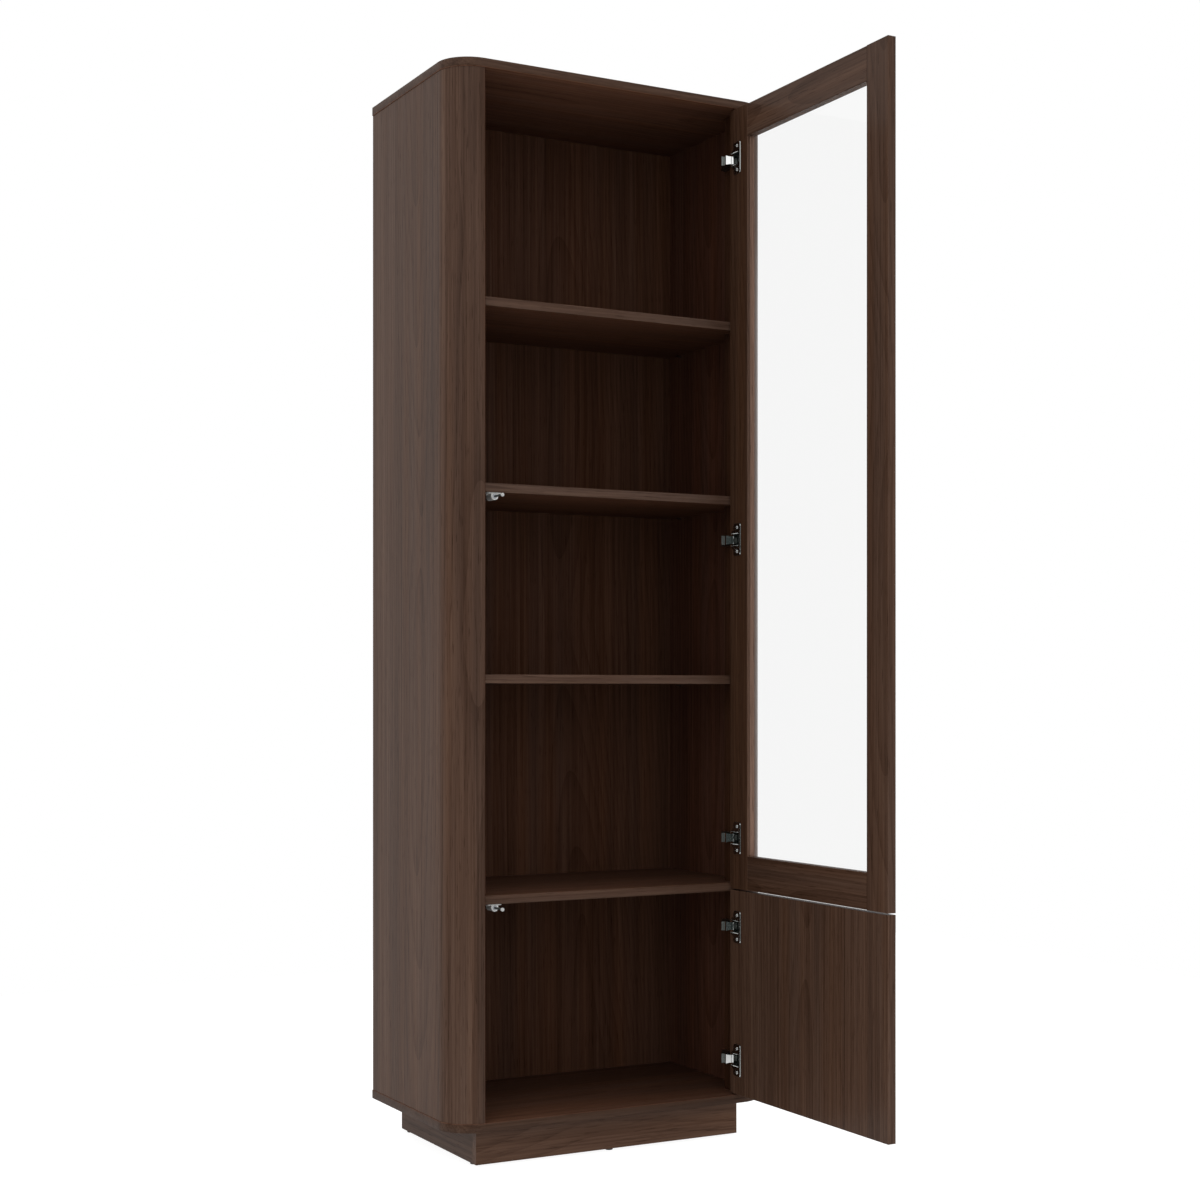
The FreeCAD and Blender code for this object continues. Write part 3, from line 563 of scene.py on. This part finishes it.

# %% [markdown]
# ## Which way the grain runs
#
# One grain for the whole case would be quicker, but it would look like printed film: real boards are cut
# along the grain. Sides, posts, back, stiles and the lower door run upright. The panels, the shelves and
# the long plinth rails run level, from side to side. The short plinth rails run from front to back, and
# so do the rails of the glass door, because it stands open. The pith sits off the middle by another
# amount on the next board, so neighbours differ in figure. Each post is cut from the same log as the side
# that it joins, and the veneer runs round the corner without a break. On the hinge side alone the pane's
# seat is painted far paler: a painted highlight, the light strip beside the glass.

# %% Dress the boards
UPRIGHT = ["left_side", "right_side", "left_front_post", "right_front_post", "back_panel",
           "glass_door_hinge_stile", "glass_door_free_stile", "wood_door_slab"]
LEVEL = ["top_panel", "bottom_panel", "upper_shelf", "middle_shelf", "lower_shelf", "divider_shelf",
         "plinth_front_rail", "plinth_back_rail"]
DEEP = ["plinth_left_rail", "plinth_right_rail", "glass_door_top_rail", "glass_door_bottom_rail"]
SAME_LOG = {"left_front_post": "left_side", "right_front_post": "right_side"}
PITH_STEP = 0.037
PITH_PLACES = 5
SEAT_LOOK = look_of(0.95, 0.98)
PAINTED_STRIP_LIGHT = look_of(2.8, 0.82, coat=0.0)


def face_of(node, axis, corner):
    """One flat face of a board: its axis, its place, and the way from it into the board."""
    return axis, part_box(node)[corner]["XYZ".index(axis)], 1 - 2 * corner


def dress(node, material):
    slots = round_boards.get(node, nodes[node]).data.materials
    slots.clear()
    slots.append(material)


for grain, boards in (("Z", UPRIGHT), ("X", LEVEL), ("Y", DEEP)):
    for board in boards:
        face = face_look = None
        if board in FACE_LOOKS:
            axis, corner, face_look = FACE_LOOKS[board]
            face = face_of(board, axis, corner)
        log = SAME_LOG.get(board, board)
        shift = (boards.index(log) % PITH_PLACES - PITH_PLACES // 2) * PITH_STEP
        dress(board, walnut("walnut_" + board, log, grain, BOARD_LOOKS[board], shift, face, face_look))
# On the hinge side the seat is painted far paler, as painted light.
hinge_side = ("Y", opening_high.y - SEAT_OVERLAP, -1)
pane_seat.data.materials.append(walnut(
    "walnut_pane_seat", "glass_door_hinge_stile", "Z", SEAT_LOOK, shift=0.0,
    face=hinge_side, face_look=PAINTED_STRIP_LIGHT))
print("walnut boards", len(UPRIGHT) + len(LEVEL) + len(DEEP))

# %% [markdown]
# ## Clear glass
#
# Glass bends light as it comes in and bends it back as it goes out, so a thin pane shows what is behind
# it in its true place. The body here hardly bends it at all, which looks the same through so thin a
# pane. A thin coat gives the weak mirror of its two faces, and the body takes away a little of the light,
# nearly without a tint.

# %% The glass finish
GLASS_BODY = (0.938, 0.940, 0.938, 1.0)
GLASS_IOR = 1.01
FACE_MIRROR = 0.15
FACE_IOR = 1.5
FILM_COUNT = 7.0
FILM_DETAIL = 4.0
FILM_ROUGHNESS = 0.006


def clear_glass():
    finish, where = material_finish("clear_glass")
    film = finish.noise(where, FILM_COUNT, FILM_DETAIL)
    return finish.surface({
        "Base Color": GLASS_BODY, "Roughness": film * FILM_ROUGHNESS, "Transmission Weight": 1.0,
        "IOR": GLASS_IOR, "Coat Weight": FACE_MIRROR, "Coat Roughness": 0.0, "Coat IOR": FACE_IOR})


glass = clear_glass()
clear_pane.data.materials.append(glass)
print("glass", glass.name, "mirror", FACE_MIRROR)

# %% [markdown]
# ## Plated steel
#
# The hinges are nickel plated pressings, brushed by the rolling of the sheet, and the screws are zinc
# plated. One mirror finish for all of it would be simpler, but in the picture only the flat nose of each
# arm is a mirror: behind it the arm is rougher and painted darker, and so is the cup behind its rim. That
# darker colour is painted shade. So the metal may change with the depth behind one flat face, as the
# walnut does.

# %% The steel finish
BRUSH_COUNTS = (900.0, 900.0, 60.0)
BRUSH_DETAIL = 3.0
BRUSH_EDGES = (0.25, 0.75)
BRUSH_ROUGHNESS = 0.05
BRUSH_RELIEF = 0.10
BRUSH_RELIEF_DEPTH = 0.0001
DULL_ROUGHNESS = 0.22
DARKER = 0.90


def two_tone(finish, value, edges, colour):
    """A colour that is a little darker where the value is low."""
    dark = tuple(channel * DARKER for channel in colour)
    return finish.ramp(value, list(zip(edges, (dark, colour))))


def plated_steel(name, colour, roughness, face=None, depths=FACE_DEPTH, shade_colour=None):
    """Plated steel, brushed along the sheet; deeper than one face, rougher and with painted shade."""
    finish, where = material_finish(name)
    brushing = finish.noise(finish.stretch(where, BRUSH_COUNTS), 1.0, BRUSH_DETAIL)
    shade = two_tone(finish, brushing, BRUSH_EDGES, colour)
    if face:
        away = away_from(finish, where, face, depths)
        # Deeper than the face the colour turns darker: painted shade.
        shade = finish.mix(away, shade, (*shade_colour, 1.0))
        roughness = roughness + away * DULL_ROUGHNESS
    return finish.surface({
        "Base Color": shade, "Metallic": 1.0, "Roughness": roughness + brushing * BRUSH_ROUGHNESS,
        "Normal": finish.bump(brushing, BRUSH_RELIEF, BRUSH_RELIEF_DEPTH)})


print("brush lines", BRUSH_COUNTS[0], "to a metre")

# %% [markdown]
# ## Moulded plastic and beech
#
# The latches and glides are moulded plastic, whose skin copies the fine spark-eroded grain of its mould.
# A plain colour would look too clean from near by, so one noise makes that grain and another makes faint
# clouds. The mouth of a latch cartridge is paler than its sleeve. The dowels are beech: they are hidden
# in their holes, but the part can be taken apart, so they get their flecks too.

# %% The plastic and beech finishes
SPARK_COUNT = 2600.0
SPARK_ROUGHNESS = 0.1
SPARK_RELIEF = 0.15
SPARK_RELIEF_DEPTH = 0.00008
CLOUD_COUNT = 90.0
CLOUD_EDGES = (0.3, 0.7)
FLECK_COUNT = 400.0
FLECK_DETAIL = 3.0
FLECK_STOPS = [(0.3, (0.42, 0.28, 0.16)), (0.7, (0.56, 0.40, 0.24))]
BEECH_ROUGHNESS = 0.55
FLECK_ROUGHNESS = 0.2


def moulded(name, colour, roughness, end_face=None, end_colour=None):
    """Moulded plastic; one end face of the piece may have a colour of its own."""
    finish, where = material_finish(name)
    spark = finish.noise(where, SPARK_COUNT)
    shade = two_tone(finish, finish.noise(where, CLOUD_COUNT), CLOUD_EDGES, colour)
    if end_face:
        shade = finish.mix(away_from(finish, where, end_face), (*end_colour, 1.0), shade)
    return finish.surface({
        "Base Color": shade, "Roughness": roughness + spark * SPARK_ROUGHNESS,
        "Normal": finish.bump(spark, SPARK_RELIEF, SPARK_RELIEF_DEPTH)})


def turned_beech():
    finish, where = material_finish("beech_dowel")
    fleck = finish.noise(where, FLECK_COUNT, FLECK_DETAIL)
    return finish.surface({
        "Base Color": finish.ramp(fleck, FLECK_STOPS),
        "Roughness": BEECH_ROUGHNESS + fleck * FLECK_ROUGHNESS})


print("spark grain", SPARK_COUNT, "to a metre")

# %% [markdown]
# ## Dressing the fittings
#
# Thirty-odd small pieces could be dressed one by one, but the record names a slot for every piece, so
# most fittings are dressed by their slot. The hinge arms, the cups and the latch cartridges come after
# that, each with a finish of its own, because it depends on where the flat face of that piece lies. The
# soft buffers on the latches get a grey of their own.

# %% Dress the fittings
PLATE_NICKEL = (0.50, 0.51, 0.50)
ARM_NICKEL = (0.96, 0.97, 0.96)
ARM_SHADE = (0.20, 0.21, 0.20)
POLISHED_NOSE = (0.0132, 0.0140)
CUP_NICKEL = (0.60, 0.61, 0.60)
CUP_SHADE = (0.13, 0.14, 0.13)
SCREW_ZINC = (0.56, 0.56, 0.55)
ADAPTER_WHITE = (0.72, 0.72, 0.70)
CARTRIDGE_GREY = (0.055, 0.060, 0.058)
MOUTH_GREY = (0.42, 0.44, 0.47)
BUFFER_GREY = (0.46, 0.46, 0.45)
GLIDE_BLACK = (0.018, 0.018, 0.018)
PRESSED_ROUGHNESS = 0.14
POLISHED_ROUGHNESS = 0.05
SLEEVE_ROUGHNESS = 0.42

FITTINGS = {
    "clear_glass": glass,
    "nickel_steel": plated_steel("nickel_steel", PLATE_NICKEL, PRESSED_ROUGHNESS),
    "screw_steel": plated_steel("screw_steel", SCREW_ZINC, roughness=0.16),
    "white_plastic": moulded("white_plastic", ADAPTER_WHITE, roughness=0.38),
    "grey_plastic": moulded("grey_plastic", CARTRIDGE_GREY, SLEEVE_ROUGHNESS),
    "black_plastic": moulded("black_plastic", GLIDE_BLACK, roughness=0.5),
    "beech_dowel": turned_beech(),
}
slot_of = {part["node"]: part["material_slot"] for part in frame["record"]["subparts"]}
dressed = [node for node, slot in slot_of.items() if slot in FITTINGS]
for node in dressed:
    dress(node, FITTINGS[slot_of[node]])
for node in nodes:
    if node.endswith("_hinge_arm"):
        nose = face_of(node, "Y", 0)
        dress(node, plated_steel(node, ARM_NICKEL, POLISHED_ROUGHNESS, nose, POLISHED_NOSE, ARM_SHADE))
    if node.endswith("_hinge_cup"):
        rim = face_of(node, "X", 0)
        dress(node, plated_steel(node, CUP_NICKEL, PRESSED_ROUGHNESS, rim, FACE_DEPTH, CUP_SHADE))
for latch in ("upper_latch", "lower_latch"):
    mouth = face_of(latch + "_cartridge", "Y", 0)
    sleeve = moulded(latch + "_sleeve", CARTRIDGE_GREY, SLEEVE_ROUGHNESS, mouth, MOUTH_GREY)
    dress(latch + "_cartridge", sleeve)
    dress(latch + "_tip", moulded(latch + "_buffer", BUFFER_GREY, roughness=0.55))
print("fittings", len(dressed))

# %% [markdown]
# ## The studio
#
# The picture has an even white surround. Large lamps could light it, but each would leave its own edge in
# the lacquer, so a white dome does nearly all of the lighting and the dark inside of the case comes by
# itself. Its soft light is stronger from above than from below, which darkens the head of each
# compartment, as in the picture. Polished metal also shows what lies behind the camera: it is dark at eye
# level and white above and below, which is why only the top and the bottom hinges shine. Mirror rays
# alone see that dark band, and the camera sees plain white.

# %% The dome
WHITE = (1.0, 1.0, 1.0, 1.0)
DOME_STRENGTH = 1.0
LIFT = 0.05
OVERHEAD = 0.68
ROOM_COLOUR = (0.028, 0.034, 0.033, 1.0)
BAND_LOW = (-0.203, -0.143)
BAND_HIGH = (0.12, 0.19)
BAND_END = (-0.30, 0.0)
INTO_PICTURE = (math.sin(TURN), math.cos(TURN), 0.0)

studio = Finish(bpy.data.worlds.new("studio"))
outwards = studio.node("ShaderNodeTexCoord")["Generated"]
ahead = studio.node("ShaderNodeVectorMath", {"operation": "DOT_PRODUCT"}, {
    0: outwards, 1: INTO_PICTURE})["Value"]
height = studio.split(outwards)["Z"]
ray = studio.node("ShaderNodeLightPath")
eye_level = studio.ease(height, *BAND_LOW) * (1 - studio.ease(height, *BAND_HIGH))
band = eye_level * (1 - studio.ease(ahead, *BAND_END))
mirror = ray["Is Glossy Ray"] * (1 - ray["Is Transmission Ray"])
dome_colour = studio.mix(band * mirror, WHITE, ROOM_COLOUR)
soft_light = (1 - ray["Is Camera Ray"]) * (1 - ray["Is Glossy Ray"]) * (1 - ray["Is Transmission Ray"])
strength = DOME_STRENGTH + soft_light * (LIFT + height * OVERHEAD)
glow = studio.node("ShaderNodeBackground", None, {"Color": dome_colour, "Strength": strength})
studio.node("ShaderNodeOutputWorld", None, {"Surface": glow["Background"]})
bpy.context.scene.world = studio.owner
bpy.context.scene.view_settings.view_transform = "Standard"
print("dome", DOME_STRENGTH, "overhead", OVERHEAD)

# %% [markdown]
# ## A soft lamp on the right
#
# Seen through the glass, the right-hand post is brighter than the front. A large soft lamp behind the
# right-hand side lights that flank and nothing of the front, because it stands behind the doors.

# %% The lamp
LAMP_SIDE = 2.0
LAMP_POWER = 26.0
LAMP_PLACE = Vector((2.5, 1.4, 1.2))

lamp_data = bpy.data.lights.new("flank_lamp", "AREA")
lamp_data.size = LAMP_SIDE
lamp_data.energy = LAMP_POWER
lamp_data.specular_factor = 0.0
lamp = bpy.data.objects.new("flank_lamp", lamp_data)
lamp.location = LAMP_PLACE
lamp.rotation_euler = (0, QUARTER_TURN, 0)
lamp.visible_camera = False
bpy.context.scene.collection.objects.link(lamp)
print("lamp", LAMP_POWER)

# %% [markdown]
# ## The floor
#
# The white surround would do without a floor, but then the case would seem to float. The floor is a
# middle grey that glows from within, nearly as white as the surround, so that the two meet without a
# horizon. Its grey takes a trace of the plinth's shadow. Soft light and mirror rays pass it by: the lower
# half of the dome already stands for the light that a pale floor throws up.

# %% The floor
FLOOR_SIDE = 5.0
FLOOR_GLOW = 0.90
FLOOR_ROUGHNESS = 0.9
FLOOR_CLOUDS = 3.0
FLOOR_STOPS = [(0.3, (0.24, 0.24, 0.24)), (0.7, (0.26, 0.26, 0.26))]

bpy.ops.object.select_all(action="DESELECT")
bpy.ops.mesh.primitive_plane_add(size=FLOOR_SIDE, location=(0, 0, 0))
floor = bpy.context.object
floor.name = "studio_floor"
pale, pale_where = material_finish("pale_floor")
floor.data.materials.append(pale.surface({
    "Base Color": pale.ramp(pale.noise(pale_where, FLOOR_CLOUDS), FLOOR_STOPS),
    "Roughness": FLOOR_ROUGHNESS, "Specular IOR Level": 0.0,
    "Emission Color": WHITE, "Emission Strength": FLOOR_GLOW}))
floor.visible_diffuse = False
floor.visible_glossy = False
floor.visible_shadow = False
print("floor", FLOOR_SIDE)

# %% [markdown]
# ## Finish
